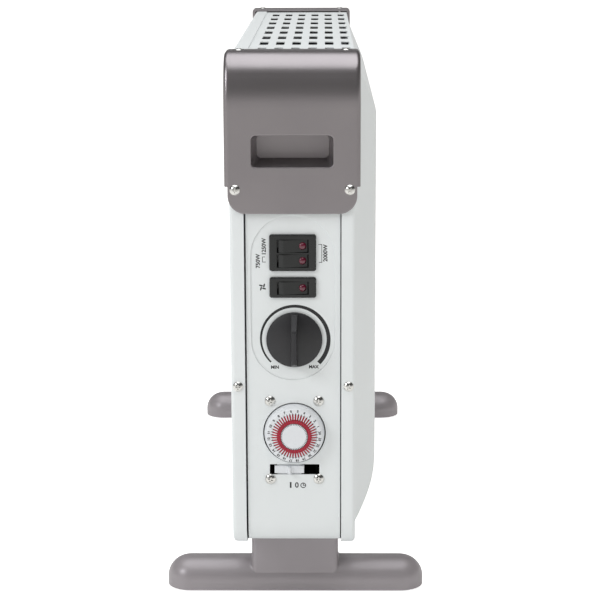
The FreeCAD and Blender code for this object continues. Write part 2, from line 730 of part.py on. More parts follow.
def thermostat_knob():
    """A domed knob with a tall grip across it, whose sloping upper end is grooved as a pointer."""
    base = control_face() - knob_gap
    tip = base - knob_height
    centre = Vector(base, knob_y, knob_z)
    disc = Part.makeCylinder(knob_radius, 6.5, centre, Vector(-1, 0, 0))
    dome_radius = 48.0
    disc = disc.common(Part.makeSphere(dome_radius, Vector(base - 6.5 + dome_radius, knob_y, knob_z)))
    disc = disc.makeFillet(0.8, edges_where(disc, lambda p: p.x < base - 1))
    low, high = knob_z - knob_radius, knob_z + knob_radius
    fin = prism("xz", [(base - 1, low + 1.2, 0), (base - 1, high - 1.2, 0), (base - 4, high - 1.0, 1),
                       (tip, high - 11, 3), (tip, low + 5.5, 2.5), (base - 4, low + 1.0, 1)],
                knob_y - 9, knob_y + 9)
    flanks = prism("xy", [(base, knob_y - 2.6, 0), (base, knob_y + 2.6, 0), (tip, knob_y + 1.7, 0.9),
                          (tip, knob_y - 1.7, 0.9)], low, high)
    flanks = flanks.common(Part.makeCylinder(knob_radius - 0.3, 30, centre, Vector(-1, 0, 0)))
    groove = prism("xz", [(base - 7, high + 3, 0), (tip + 1.0, high - 10.6, 1.0), (tip - 3, high - 10.6, 0),
                          (tip - 3, high + 3, 0)], knob_y - 0.6, knob_y + 0.6)
    solid = fuse([disc, fin.common(flanks)]).cut(groove)
    hollow = Part.makeCylinder(knob_radius - 2, 4, centre, Vector(-1, 0, 0))
    hollow = hollow.common(Part.makeSphere(dome_radius - 2, Vector(base - 6.5 + dome_radius, knob_y, knob_z)))
    boss = Part.makeCylinder(6, 4, centre - Vector(1.2, 0, 0), Vector(-1, 0, 0))
    return cut(solid, [hollow.cut(boss), thermostat_shaft()])


def thermostat_screws():
    """Two low screws under the knob hold the thermostat's case to the panel."""
    return Part.makeCompound([screw((control_face(), knob_y + dy, knob_z), Vector(-1, 0, 0), 5, 2.9, 1.6)
                              for dy in (-12, 12)])


def gear(teeth, thickness, backlash=0.16):
    """A spur gear about the X axis, its teeth straight-sided, with one tooth at +Z."""
    pitch_radius = gear_module * teeth / 2
    outer = pitch_radius + gear_module * 0.62
    root = pitch_radius - gear_module * 0.85
    pitch = 2 * math.pi / teeth
    points = []
    for i in range(teeth):
        middle = i * pitch
        for radius, share in ((root, 0.72), (outer, 0.26)):
            points.append((radius, middle - pitch * share * (1 - backlash) / 2))
        for radius, share in ((outer, 0.26), (root, 0.72)):
            points.append((radius, middle + pitch * share * (1 - backlash) / 2))
    corners = [(radius * math.sin(a), radius * math.cos(a), 0) for radius, a in points]
    return prism("yz", corners, 0, thickness)


def above_panel(proud):
    """X of a plane that stands out of the control end's panel."""
    return -panel_outer - proud


def timer_case():
    front = -panel_outer + sheet
    back = -panel_outer + timer_case_depth
    wall = timer_wall
    case = prism("yz", rectangle(timer_y - timer_case_half, timer_y + timer_case_half, timer_case_bottom,
                                 timer_case_top, 3), front, back)
    hollow = prism("yz", rectangle(timer_y - timer_case_half + 2, timer_y + timer_case_half - 2,
                                   timer_case_bottom + 2, timer_case_top - 2, 2), front - 1, wall)
    columns = [rod(Vector(1, 0, 0), 3.4, Vector(front, y, z), wall - front) for _, y, z in timer_screw_places()]
    post_tip = above_panel(hub_proud - 2.5)
    post = rod(Vector(1, 0, 0), 4.0, Vector(post_tip, timer_y, timer_z), wall - post_tip)
    stub = rod(Vector(1, 0, 0), 1.2, Vector(dial_back, timer_y, pinion_z()), wall - dial_back)
    body = fuse([case.cut(hollow)] + columns + [post, stub])
    return cut(body, screw_holes(timer_screw_places(), Vector(1, 0, 0), 18, screw_shank_radius + 0.05))


def pinion_z():
    return timer_z + gear_module * (dial_teeth + pinion_teeth) / 2


def timer_dial():
    """A turned dial: a rounded rim, a flat ring for the hours, and a slotted cone that rises to the middle."""
    profile = [(dial_back, 5, 0), (dial_back, dial_radius, 0), (above_panel(0), dial_radius, 2),
               (above_panel(dial_wall_proud), dial_radius - 0.7, 2), (above_panel(dial_ring_proud), 20.4, 1.4),
               (above_panel(dial_cone_proud), 17.3, 2),
               (above_panel(dial_cone_top_proud), dial_recess_outer, 0.3),
               (above_panel(dial_recess_proud), dial_recess_outer, 0), (above_panel(dial_recess_proud), 5, 0)]
    disc = Part.Face(rounded_outline("xy", profile, 0)).revolve(Vector(0, 0, 0), Vector(1, 0, 0), 360)
    sleeve_ring = Part.makeCylinder(7, 8, Vector(dial_back, 0, 0), Vector(1, 0, 0))
    hub_top = Vector(above_panel(dial_recess_proud), 0, 0)
    hub = Part.makeCylinder(5.5, dial_back - hub_top.x, hub_top, Vector(1, 0, 0))
    ring = gear(dial_teeth, gear_thickness).translate(Vector(dial_back, 0, 0))
    body = fuse([disc, hub, ring, sleeve_ring])
    tools = [Part.makeCylinder(4.06, 40, Vector(above_panel(12), 0, 0), Vector(1, 0, 0))]
    for i in range(tappet_count):
        slot = box(above_panel(12), above_panel(dial_recess_proud), -dial_slot_width / 2, dial_slot_width / 2,
                   dial_recess_outer - 0.5, dial_slot_outer)
        tools.append(slot.rotate(Vector(0, 0, 0), Vector(1, 0, 0), (i + 0.5) * 360 / tappet_count))
    return cut(body, tools).translate(Vector(0, timer_y, timer_z))


def tappet(index):
    """One tappet: a finger tab at its inner end and a blade in its slot; it pushes in along X."""
    half = math.radians(360 / tappet_count) * 0.43
    corners = [(r * math.sin(a), r * math.cos(a), 0) for r, a in
               ((tappet_inner, -half), (tappet_tab_outer, -half * 0.98), (tappet_tab_outer, half * 0.98),
                (tappet_inner, half))]
    back = above_panel(tappet_back_proud)
    tab = prism("yz", corners, above_panel(dial_cone_top_proud + 0.4), back)
    root = tappet_tab_outer - 0.4
    side = [(back, root, 0), (above_panel(dial_cone_top_proud + 0.1), root, 0),
            (above_panel(dial_cone_proud + 0.1), tappet_outer, 0.5), (back, tappet_outer, 0)]
    blade = prism("xz", side, -tappet_blade / 2, tappet_blade / 2)
    piece = fuse([tab, blade])
    piece.rotate(Vector(0, 0, 0), Vector(1, 0, 0), (index + 0.5) * 360 / tappet_count)
    return piece.translate(Vector(0, timer_y, timer_z))


def timer_hub_cap():
    """The fixed middle of the timer: a flat rim round a slightly raised disc."""
    centre = Vector(above_panel(hub_proud - 2.5), timer_y, timer_z)
    rim = Part.makeCylinder(hub_radius, 2.0, centre, Vector(-1, 0, 0))
    crown = Part.makeCylinder(8.9, 2.5, centre, Vector(-1, 0, 0))
    crown = crown.makeFillet(0.45, edges_where(crown, lambda p: near(p.x, above_panel(hub_proud))))
    return fuse([rim, crown])


def timer_pinion():
    wheel = gear(pinion_teeth, gear_thickness)
    # Half a tooth round, so that a gap meets the dial's tooth.
    wheel.rotate(Vector(0, 0, 0), Vector(1, 0, 0), 180 + 180 / pinion_teeth)
    boss = Part.makeCylinder(2.6, 8, Vector(0, 0, 0), Vector(1, 0, 0))
    return cut(fuse([wheel, boss]), [Part.makeCylinder(1.25, 20, Vector(-2, 0, 0), Vector(1, 0, 0))]).translate(
        Vector(dial_back, timer_y, pinion_z()))


def timer_motor():
    back = -panel_outer + timer_case_depth
    can = Part.makeCylinder(17, 13, Vector(back, timer_y, timer_z), Vector(1, 0, 0))
    can = can.makeFillet(1.5, edges_where(can, lambda p: near(p.x, back + 13)))
    ears = prism("yz", rectangle(timer_y - 22, timer_y + 22, timer_z - 4, timer_z + 4, 3.5), back, back + 1)
    return fuse([can, ears])


def timer_mode_slider():
    outer = -panel_outer
    y0, y1 = slider_rest_y - slider_width / 2, slider_rest_y + slider_width / 2
    z0, z1 = mode_slot_z - slider_height / 2, mode_slot_z + slider_height / 2
    block = box(outer - 0.6, outer + 4, y0, y1, z0, z1)
    block = block.makeFillet(0.4, edges_where(block, lambda p: near(p.x, outer - 0.6)))
    ridge = prism("xy", [(outer, slider_rest_y - 3.2, 0), (outer - 0.6, slider_rest_y - 3.2, 0),
                         (outer - 1.2, slider_rest_y - 1.7, 1.2), (outer - 4.0, slider_rest_y - 0.8, 0.6),
                         (outer - 4.0, slider_rest_y + 0.8, 0.6), (outer - 1.2, slider_rest_y + 1.7, 1.2),
                         (outer - 0.6, slider_rest_y + 3.2, 0), (outer, slider_rest_y + 3.2, 0)],
                  z0 + 0.3, z1 - 0.3)
    keeper = box(outer + 1.2, outer + 4, y0 + 2, y1 - 2, z0 - 1.8, z1 + 1.8)
    return fuse([block, ridge, keeper])


def gland_flange_radius():
    return 9.5


def cable_gland():
    """The cord's inlet bush, pressed into the back panel."""
    outside = half_depth
    start = Vector(gland_x, outside + 2 - gland_length, gland_z)
    barrel = rod(Vector(0, 1, 0), gland_flange_radius() - 2.7, start, gland_length)
    flange = rod(Vector(0, 1, 0), gland_flange_radius(), Vector(gland_x, outside, gland_z), 2)
    flange = flange.makeFillet(0.8, edges_where(flange, lambda p: near(p.y, outside + 2)))
    bore = rod(Vector(0, 1, 0), gland_bore_radius, start - Vector(0, 1, 0), gland_length + 2)
    return fuse([barrel, flange]).cut(bore)


def terminal_block():
    x0, z0 = terminal_block_x, base_level + sheet
    block = box(x0, x0 + terminal_block_length, -22, 14, z0, z0 + 14)
    tools = []
    for i in range(3):
        y = -16 + 12 * i
        tools.append(rod(Vector(0, 0, 1), 2.2, Vector(x0 + 7, y, z0 + 7), 10))
        tools.append(rod(Vector(0, 0, 1), 2.2, Vector(x0 + 19, y, z0 + 7), 10))
        tools.append(rod(Vector(1, 0, 0), 1.9, Vector(x0 - 1, y, z0 + 5), 30))
    return cut(block, tools)


def compartment_shield():
    """The wall between the hot chamber and the controls, flanged at its foot."""
    wall = box(shield_x, shield_x + inner_sheet, -band_half + 1, band_half - 1, base_level + sheet + 0.1, 402)
    flange = box(shield_x, shield_x + 9, -band_half + 1, band_half - 1, base_level + sheet + 0.1,
                 base_level + sheet + 0.1 + inner_sheet)
    wire_hole = rod(Vector(1, 0, 0), 8.5, Vector(shield_x - 2, 0, 93), 6)
    return fuse([wall, flange]).cut(wire_hole)


def reflector(side):
    """An inner heat sheet, spot-welded by a tab at each end; side is -1 for the front one."""
    y = side * reflector_y
    lip_end = side * (half_depth - sheet - 0.4)
    x0, x1 = shield_x + inner_sheet, panel_outer - sheet
    wall = box(x0, x1, y, y + side * inner_sheet, reflector_bottom, reflector_top)
    lip = box(x0, x1 - 8, y, lip_end, reflector_top - inner_sheet, reflector_top)
    toe = box(x0, x1 - 8, y, lip_end, reflector_bottom, reflector_bottom + inner_sheet)
    tabs = [box(x, x + inwards * inner_sheet, y, y + side * 4.4, reflector_bottom, reflector_top - 4)
            for x, inwards in ((x0, 1), (x1, -1))]
    return fuse([wall, lip, toe] + tabs)


def element_brackets():
    """Two end frames, folded from sheet, that carry the heating elements between the reflectors."""
    frames = []
    half = reflector_y
    for side in (-1, 1):
        x = side * (element_half + 4)
        plate = box(x, x + side * 1.2, -half, half, element_bottom - 12, element_top + 14)
        feet = [box(x, x + side * 10, s * half, s * (half - 1.2), element_bottom - 12, element_top + 14)
                for s in (-1, 1)]
        window = prism("yz", rectangle(-6, 6, element_bottom, element_top, 2), x - 3, x + 3)
        frames.append(cut(fuse([plate] + feet), [window]))
    return Part.makeCompound(frames)


def mica_strips():
    """Mica strips in pairs; each pair grips the turns of one wire, above or below."""
    strips = []
    for y in (-element_y, element_y):
        for z in (element_bottom - 4, element_top - 6):
            for side in (-1, 1):
                near_y = y + side * (coil_radius + 0.05)
                strips.append(box(-element_half - 4, element_half + 4, near_y, near_y + side * 1.0, z, z + 10))
    return Part.makeCompound(strips)


def heating_wire(y, pitch):
    """A wire that runs up and down between its mica strips."""
    bend = pitch / 2
    runs = int((2 * element_half - 8) / pitch)
    start_x = -(runs - 1) * pitch / 2
    edges = []
    for i in range(runs):
        x = start_x + i * pitch
        low, high = element_bottom + bend, element_top - bend
        up = i % 2 == 0
        z0, z1 = (low, high) if up else (high, low)
        edges.append(Part.makeLine(Vector(x, y, z0), Vector(x, y, z1)))
        if i < runs - 1:
            peak = Vector(x + bend, y, z1 + (bend if up else -bend))
            edges.append(Part.Arc(Vector(x, y, z1), peak, Vector(x + pitch, y, z1)).toShape())
    path = Part.Wire(edges)
    circle = Part.Wire(Part.makeCircle(coil_radius, Vector(start_x, y, element_bottom + bend), Vector(0, 0, 1)))
    return path.makePipeShell([circle], True, False)


def thermal_cutout():
    """The bimetal safety cut-out on the control end's element frame."""
    x = -element_half - 4
    disc = rod(Vector(1, 0, 0), 8, Vector(x - 1.2 - 7, 18, element_top + 2), 7)
    tabs = [box(x - 14, x - 8.2, 18 + dy - 0.4, 18 + dy + 0.4, element_top - 1, element_top + 5)
            for dy in (-4, 4)]
    return fuse([disc] + tabs)


def fan_shroud():
    """The ring round the impeller, standing on the base plate."""
    z0 = base_level + sheet
    ring = rod(Vector(0, 0, 1), fan_radius + 4.5, Vector(fan_x, 0, z0), 20.5)
    bore = rod(Vector(0, 0, 1), fan_radius + 2.5, Vector(fan_x, 0, z0 - 1), 24)
    flange = prism("xy", rectangle(fan_x - 44, fan_x + 44, -40, 40, 4), z0, z0 + sheet)
    return cut(fuse([ring, flange]), [bore])


def fan_impeller():
    hub = rod(Vector(0, 0, 1), 9, Vector(fan_x, 0, fan_bottom), fan_height)
    hub = hub.makeFillet(1.5, edges_where(hub, lambda p: near(p.z, fan_bottom)))
    hub = hub.cut(rod(Vector(0, 0, 1), 1.6, Vector(fan_x, 0, fan_bottom - 1), 30))
    sweep = rod(Vector(0, 0, 1), fan_radius, Vector(fan_x, 0, fan_bottom), fan_height)
    blades = []
    for i in range(5):
        blade = box(6, fan_radius + 1, -0.7, 0.7, -9, 9)
        blade.rotate(Vector(0, 0, 0), Vector(1, 0, 0), 52)
        blade.rotate(Vector(0, 0, 0), Vector(0, 0, 1), 72 * i)
        blades.append(blade.translate(Vector(fan_x, 0, fan_bottom + fan_height / 2)).common(sweep))
    return fuse([hub] + blades)


def fan_shaft():
    return rod(Vector(0, 0, 1), 1.6, Vector(fan_x, 0, fan_bottom + 1), 42)


def fan_rotor():
    ring = rod(Vector(0, 0, 1), 10, Vector(fan_x, 0, 82), 15)
    return ring.cut(rod(Vector(0, 0, 1), 1.6, Vector(fan_x, 0, 80), 20))


def fan_motor_core():
    """The laminated frame of a shaded-pole motor, with a round gap for its rotor and two post holes."""
    core = prism("xy", rectangle(fan_x - 18, fan_x + 34, -21, 21, 2), 83, 96)
    window = prism("xy", rectangle(fan_x + 15, fan_x + 27, -13, 13, 1), 82, 97)
    gap = rod(Vector(0, 0, 1), 10.4, Vector(fan_x, 0, 82), 16)
    holes = [rod(Vector(0, 0, 1), 2.05, Vector(fan_x - 5, s * 17, 80), 20) for s in (-1, 1)]
    return cut(core, [gap, window] + holes)


def fan_motor_coil():
    """The winding on the limb at the core's side."""
    x0, x1 = fan_x + 27, fan_x + 34
    outer = prism("xz", rectangle(x0 - 6, x1 + 6, 77.5, 101.5, 4), -12, 12)
    return outer.cut(box(x0, x1, -20, 20, 83, 96))


def fan_bracket():
    """A strap across the casing above the impeller, a bar above the core, and a bush in each for the shaft."""
    low = 80.0
    strap = box(fan_x - 12, fan_x + 12, -38.5, 38.5, low, low + 1.5)
    legs = [box(fan_x - 12, fan_x + 12, s * 38.5, s * 37.3, base_level + 2 * sheet, low + 1.5) for s in (-1, 1)]
    bar = box(fan_x - 8, fan_x + 12, -21, 21, 98.5, 100)
    posts = [rod(Vector(0, 0, 1), 2, Vector(fan_x - 5, s * 17, low + 1.5), 17) for s in (-1, 1)]
    bushes = [rod(Vector(0, 0, 1), 3.4, Vector(fan_x, 0, z), length) for z, length in ((78.2, 3.3), (98.5, 4))]
    bore = rod(Vector(0, 0, 1), 1.66, Vector(fan_x, 0, 60), 60)
    return fuse([strap, bar] + legs + posts + bushes).cut(bore)


def lead(points):
    """A wire along points, straight with rounded turns, with a straight stub along X at each end."""
    first, last = Vector(*points[0]), Vector(*points[-1])
    stub = Vector(lead_stub, 0, 0)
    towards_last = 1 if points[-2][0] > points[-1][0] else -1
    vectors = [first, first + stub] + [Vector(*p) for p in points[1:-1]] + [last + stub * towards_last, last]
    edges = []
    reached = first
    for before, corner, after in zip(vectors, vectors[1:], vectors[2:]):
        back, ahead = before - corner, after - corner
        reach = 0.42 * min(back.Length, ahead.Length)
        start = corner + back.normalize() * reach
        end = corner + ahead.normalize() * reach
        half = back.getAngle(ahead) / 2
        bend = reach * math.tan(half)
        middle = corner + (back + ahead).normalize() * (bend / math.sin(half) - bend)
        edges.append(Part.makeLine(reached, start))
        edges.append(Part.Arc(start, middle, end).toShape())
        reached = end
    edges.append(Part.makeLine(reached, last))
    circle = Part.Wire(Part.makeCircle(lead_radius, first, Vector(1, 0, 0)))
    return Part.Wire(edges).makePipeShell([circle], True, False)


def internal_wiring():
    """The leads in the control compartment: terminals, timer, thermostat, switches and elements."""
    timer_back = -panel_outer + timer_case_depth
    switch_back = control_face() + 28
    thermostat_back = control_face() + sheet + 25
    block_end = terminal_block_x + terminal_block_length
    level = base_level + sheet + 5
    tab_z = knob_z + 7
    pitch = rocker_pitch / 2
    return Part.makeCompound([
        lead([(block_end, -16, level), (-246, -18, level + 10), (-248, -20, 96), (timer_back, -19, 120)]),
        lead([(timer_back, -19, 156), (-254, -18, 180), (-252, -16, 204), (thermostat_back, knob_y - 14, tab_z)]),
        lead([(thermostat_back, knob_y + 14, tab_z), (-254, 14, 232), (switch_back, 8, single_switch_z)]),
        lead([(switch_back, 8, double_switch_z + pitch), (-252, 16, 272), (-245, 24, 250),
              (-243, 26, 190), (-243, 20, 120), (-241, 6, 98), (-228, 3.2, 92)]),
        lead([(switch_back, -8, double_switch_z - pitch), (-252, -16, 262), (-245, -24, 240),
              (-243, -27, 190), (-243, -20, 120), (-241, -6, 98), (-228, -3.2, 92)]),
    ])


def rocker_places():
    middle = double_switch_z - rocker_drop
    return {"750w": middle - rocker_pitch / 2, "1250w": middle + rocker_pitch / 2, "fan": single_switch_z - 0.3}


def build():
    parts = {
        "front_panel": front_panel(),
        "back_panel": back_panel(),
        "top_grille": top_grille(),
        "base_plate": base_plate(),
        "control_end_panel": control_end_panel(),
        "far_end_panel": far_end_panel(),
        "control_end_cap": end_cap(),
        "far_end_cap": mirror_x(end_cap()),
        "control_cap_screws": cap_screws(-1),
        "far_cap_screws": cap_screws(1),
        "flange_screws": flange_screws(),
        "control_foot": place_foot(-1),
        "far_foot": place_foot(1),
        "foot_pads": foot_pads(),
        "foot_screws": foot_screws(),
        "double_switch_housing": switch_housing(double_switch_z, double_switch_height,
                                                [rocker_places()["750w"], rocker_places()["1250w"]]),
        "fan_switch_housing": switch_housing(single_switch_z, single_switch_height, [rocker_places()["fan"]]),
        "switch_terminals": switch_tabs(),
        "thermostat_body": thermostat_body(),
        "thermostat_shaft": thermostat_shaft(),
        "thermostat_knob": thermostat_knob(),
        "thermostat_screws": thermostat_screws(),
        "timer_case": timer_case(),
        "timer_dial": timer_dial(),
        "timer_hub_cap": timer_hub_cap(),
        "timer_pinion": timer_pinion(),
        "timer_motor": timer_motor(),
        "timer_mode_slider": timer_mode_slider(),
        "timer_screws": timer_screws(),
        "cable_gland": cable_gland(),
        "terminal_block": terminal_block(),
        "internal_wiring": internal_wiring(),
        "compartment_shield": compartment_shield(),
        "front_reflector": reflector(-1),
        "rear_reflector": reflector(1),
        "element_brackets": element_brackets(),
        "mica_strips": mica_strips(),
        "heating_wire_1250w": heating_wire(-element_y, 5.0),
        "heating_wire_750w": heating_wire(element_y, 8.0),
        "thermal_cutout": thermal_cutout(),
        "fan_shroud": fan_shroud(),
        "fan_impeller": fan_impeller(),
        "fan_shaft": fan_shaft(),
        "fan_rotor": fan_rotor(),
        "fan_motor_core": fan_motor_core(),
        "fan_motor_coil": fan_motor_coil(),
        "fan_bracket": fan_bracket(),
    }
    for name, z in rocker_places().items():
        parts["rocker_" + name] = rocker(z)
        parts["rocker_lens_" + name] = rocker_lens(z)
    for group in range(tappet_groups):
        share = tappet_count // tappet_groups
        parts["timer_tappets_" + "abcd"[group]] = Part.makeCompound(
            [tappet(group * share + i) for i in range(share)])
    return parts


def main():
    os.makedirs("parts", exist_ok=True)
    for name, shape in build().items():
        shape.translate(Vector(casing_shift, 0, 0))
        if not shape.isValid():
            print("not valid:", name)
        shape.exportStep("parts/" + name + ".step")
        print(name, len(shape.Solids), round(shape.Volume / 1000, 2))


main()
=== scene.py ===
import json
import math

import bmesh
import bpy
from mathutils import Matrix, Vector

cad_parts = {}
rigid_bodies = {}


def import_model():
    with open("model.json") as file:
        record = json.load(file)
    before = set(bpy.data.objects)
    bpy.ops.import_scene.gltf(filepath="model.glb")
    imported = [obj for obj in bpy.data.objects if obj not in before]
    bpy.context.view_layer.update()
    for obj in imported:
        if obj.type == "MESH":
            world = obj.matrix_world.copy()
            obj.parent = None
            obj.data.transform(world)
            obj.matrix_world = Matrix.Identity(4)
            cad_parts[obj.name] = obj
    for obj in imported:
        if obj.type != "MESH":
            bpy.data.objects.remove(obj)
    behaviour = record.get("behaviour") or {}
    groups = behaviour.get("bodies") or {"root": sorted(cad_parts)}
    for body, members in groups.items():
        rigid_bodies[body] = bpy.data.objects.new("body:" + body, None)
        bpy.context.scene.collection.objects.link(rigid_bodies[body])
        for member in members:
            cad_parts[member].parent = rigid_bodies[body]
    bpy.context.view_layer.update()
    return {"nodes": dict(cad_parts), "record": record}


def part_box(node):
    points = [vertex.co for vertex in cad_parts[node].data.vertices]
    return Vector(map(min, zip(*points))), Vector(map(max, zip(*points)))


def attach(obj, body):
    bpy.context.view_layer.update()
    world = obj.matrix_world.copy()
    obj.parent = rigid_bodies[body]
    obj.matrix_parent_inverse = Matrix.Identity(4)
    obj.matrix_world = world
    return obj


for leftover in list(bpy.data.objects):
    bpy.data.objects.remove(leftover)
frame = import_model()
nodes = frame["nodes"]
mm = 0.001
mixSockets = {"first": 6, "second": 7, "result": 2}    # of a Mix node that mixes colours

print("frame loaded:", len(nodes), "nodes")

# The camera, the floor and the light round the heater.
studio = {
    "lens": 108.2,
    "sensor": 36.0,
    "place": (-1.5788, -0.0226, 0.5229),
    "pitchDown": 0.216,
    "turnLeft": 0.0135,
    "roll": -0.00375,
    "floorSize": 12.0,
    "floorColour": (0.93, 0.93, 0.93, 1),
    "floorRoughness": 0.9,
    "floorShine": 0.1,
    "floorGlow": 0.75,         # keeps the paper white as far as the horizon, for the camera only
    "fillColour": (0.60, 0.59, 0.565),   # light that comes from all round
    "keyColour": (0.96, 0.98, 1.0),
    "mirrorLow": 0.85,         # what glossy surfaces see at the horizon and below
    "mirrorBand": 0.05,        # the unlit studio above the horizon
    "mirrorTop": 0.6,
    "mirrorStops": [(0.0, "mirrorLow"), (0.52, "mirrorLow"), (0.60, "mirrorBand"), (0.86, "mirrorBand"),
                    (0.94, "mirrorTop")],    # share of the way from straight down to straight up
    "softboxes": {
        "overheadSoftbox": {
            "place": (-0.1, 0.1, 1.9), "target": (0, 0, 0.2), "size": (2.2, 1.6), "power": 19},
        "leftSoftbox": {
            "place": (-1.5, 1.7, 1.5), "target": (-0.2, 0, 0.2), "size": (0.8, 0.8), "power": 17},
    },
}


def meshFrom(shape, name):
    mesh = bpy.data.meshes.new(name)
    shape.to_mesh(mesh)
    shape.free()
    return mesh


def addCamera():
    data = bpy.data.cameras.new("studioCamera")
    data.lens = studio["lens"]
    data.sensor_width = studio["sensor"]
    data.clip_start = 0.01
    camera = bpy.data.objects.new("studioCamera", data)
    bpy.context.scene.collection.objects.link(camera)
    facing = (Matrix.Rotation(studio["turnLeft"] - math.pi / 2, 4, "Z")
              @ Matrix.Rotation(math.pi / 2 - studio["pitchDown"], 4, "X")
              @ Matrix.Rotation(studio["roll"], 4, "Z"))
    camera.matrix_world = Matrix.Translation(Vector(studio["place"])) @ facing
    bpy.context.scene.camera = camera


def addFloor():
    grid = bmesh.new()
    bmesh.ops.create_grid(grid, x_segments=1, y_segments=1, size=studio["floorSize"])
    mesh = meshFrom(grid, "studioFloor")
    floor = bpy.data.objects.new("studioFloor", mesh)
    bpy.context.scene.collection.objects.link(floor)
    paper = bpy.data.materials.new("studioPaper")
    paper.use_nodes = True
    shader = paper.node_tree.nodes["Principled BSDF"]
    shader.inputs["Base Color"].default_value = studio["floorColour"]
    shader.inputs["Roughness"].default_value = studio["floorRoughness"]
    shader.inputs["Specular IOR Level"].default_value = studio["floorShine"]
    shader.inputs["Emission Color"].default_value = (1, 1, 1, 1)
    path = paper.node_tree.nodes.new("ShaderNodeLightPath")
    glow = paper.node_tree.nodes.new("ShaderNodeMath")
    glow.operation = "MULTIPLY"
    glow.inputs[1].default_value = studio["floorGlow"]
    paper.node_tree.links.new(path.outputs["Is Camera Ray"], glow.inputs[0])
    paper.node_tree.links.new(glow.outputs[0], shader.inputs["Emission Strength"])
    mesh.materials.append(paper)


def addSoftbox(name, box):
    data = bpy.data.lights.new(name, "AREA")
    data.shape = "RECTANGLE"
    data.size, data.size_y = box["size"]
    data.energy = box["power"]
    data.color = studio["keyColour"]
    lamp = bpy.data.objects.new(name, data)
    bpy.context.scene.collection.objects.link(lamp)
    place = Vector(box["place"])
    aim = (Vector(box["target"]) - place).to_track_quat("-Z", "Y").to_matrix().to_4x4()
    lamp.matrix_world = Matrix.Translation(place) @ aim


def addSurroundings():
    # White behind the object, even fill light, and a dark band above the horizon for glossy surfaces.
    world = bpy.data.worlds.new("studioWorld")
    bpy.context.scene.world = world
    world.use_nodes = True
    tree = world.node_tree
    tree.nodes.clear()
    output = tree.nodes.new("ShaderNodeOutputWorld")
    light = tree.nodes.new("ShaderNodeBackground")
    path = tree.nodes.new("ShaderNodeLightPath")
    direction = tree.nodes.new("ShaderNodeTexCoord")
    split = tree.nodes.new("ShaderNodeSeparateXYZ")
    ramp = tree.nodes.new("ShaderNodeValToRGB")
    rise = tree.nodes.new("ShaderNodeMapRange")
    rise.inputs["From Min"].default_value = -1
    tree.links.new(direction.outputs["Generated"], split.inputs[0])
    tree.links.new(split.outputs["Z"], rise.inputs["Value"])
    tree.links.new(rise.outputs[0], ramp.inputs["Fac"])
    stops = studio["mirrorStops"]
    ramp.color_ramp.elements.remove(ramp.color_ramp.elements[1])
    ramp.color_ramp.elements[0].position = stops[0][0]
    for later in stops[1:]:
        ramp.color_ramp.elements.new(later[0])
    for stop, (place, level) in zip(ramp.color_ramp.elements, stops):
        stop.color = (studio[level],) * 3 + (1,)
    glossy = tree.nodes.new("ShaderNodeMix")
    glossy.data_type = "RGBA"
    glossy.inputs[mixSockets["first"]].default_value = studio["fillColour"] + (1,)
    tree.links.new(path.outputs["Is Glossy Ray"], glossy.inputs[0])
    tree.links.new(ramp.outputs["Color"], glossy.inputs[mixSockets["second"]])
    seen = tree.nodes.new("ShaderNodeMix")
    seen.data_type = "RGBA"
    seen.inputs[mixSockets["second"]].default_value = (1, 1, 1, 1)
    tree.links.new(path.outputs["Is Camera Ray"], seen.inputs[0])
    tree.links.new(glossy.outputs[mixSockets["result"]], seen.inputs[mixSockets["first"]])
    tree.links.new(seen.outputs[mixSockets["result"]], light.inputs["Color"])
    tree.links.new(light.outputs[0], output.inputs["Surface"])


addCamera()
addFloor()
addSurroundings()
for softboxName, softbox in studio["softboxes"].items():
    addSoftbox(softboxName, softbox)
bpy.context.scene.view_settings.view_transform = "Standard"
print("camera, floor and lights placed")

patterns = {
    "fineDetail": 3,
    "broadDetail": 4,
    "driftRange": (0.3, 0.7),      # of the broad noise, stretched to 0 and 1
    "streakStretch": (0.06, 1, 1),
    "streakDetail": 4,
    "spangleShare": 0.45,
    "streakShare": 0.55,
    "bumpStrength": 0.6,
}


def newGroup(name, scales):
    # A pattern's group: it takes a place and two scales, and gives a height and a drift between 0 and 1.
    group = bpy.data.node_groups.new(name, "ShaderNodeTree")
    group.interface.new_socket("Vector", in_out="INPUT", socket_type="NodeSocketVector")
    for label in scales:
        group.interface.new_socket(label, in_out="INPUT", socket_type="NodeSocketFloat")
    for label in ("Height", "Drift"):
        group.interface.new_socket(label, in_out="OUTPUT", socket_type="NodeSocketFloat")
    return group, group.nodes.new("NodeGroupInput"), group.nodes.new("NodeGroupOutput")


def buildGrainGroup():
    # Moulded or sprayed grain: a fine height, and a broad drift between 0 and 1.
    group, start, end = newGroup("mouldedGrain", ["Fine Scale", "Broad Scale"])
    fine = group.nodes.new("ShaderNodeTexNoise")
    fine.inputs["Detail"].default_value = patterns["fineDetail"]
    broad = group.nodes.new("ShaderNodeTexNoise")
    broad.inputs["Detail"].default_value = patterns["broadDetail"]
    stretch = group.nodes.new("ShaderNodeMapRange")
    for rangeEnd, level in zip(("From Min", "From Max"), patterns["driftRange"]):
        stretch.inputs[rangeEnd].default_value = level
    links = group.links
    links.new(start.outputs["Vector"], fine.inputs["Vector"])
    links.new(start.outputs["Vector"], broad.inputs["Vector"])
    links.new(start.outputs["Fine Scale"], fine.inputs["Scale"])
    links.new(start.outputs["Broad Scale"], broad.inputs["Scale"])
    links.new(fine.outputs["Fac"], end.inputs["Height"])
    links.new(broad.outputs["Fac"], stretch.inputs["Value"])
    links.new(stretch.outputs[0], end.inputs["Drift"])
    return group


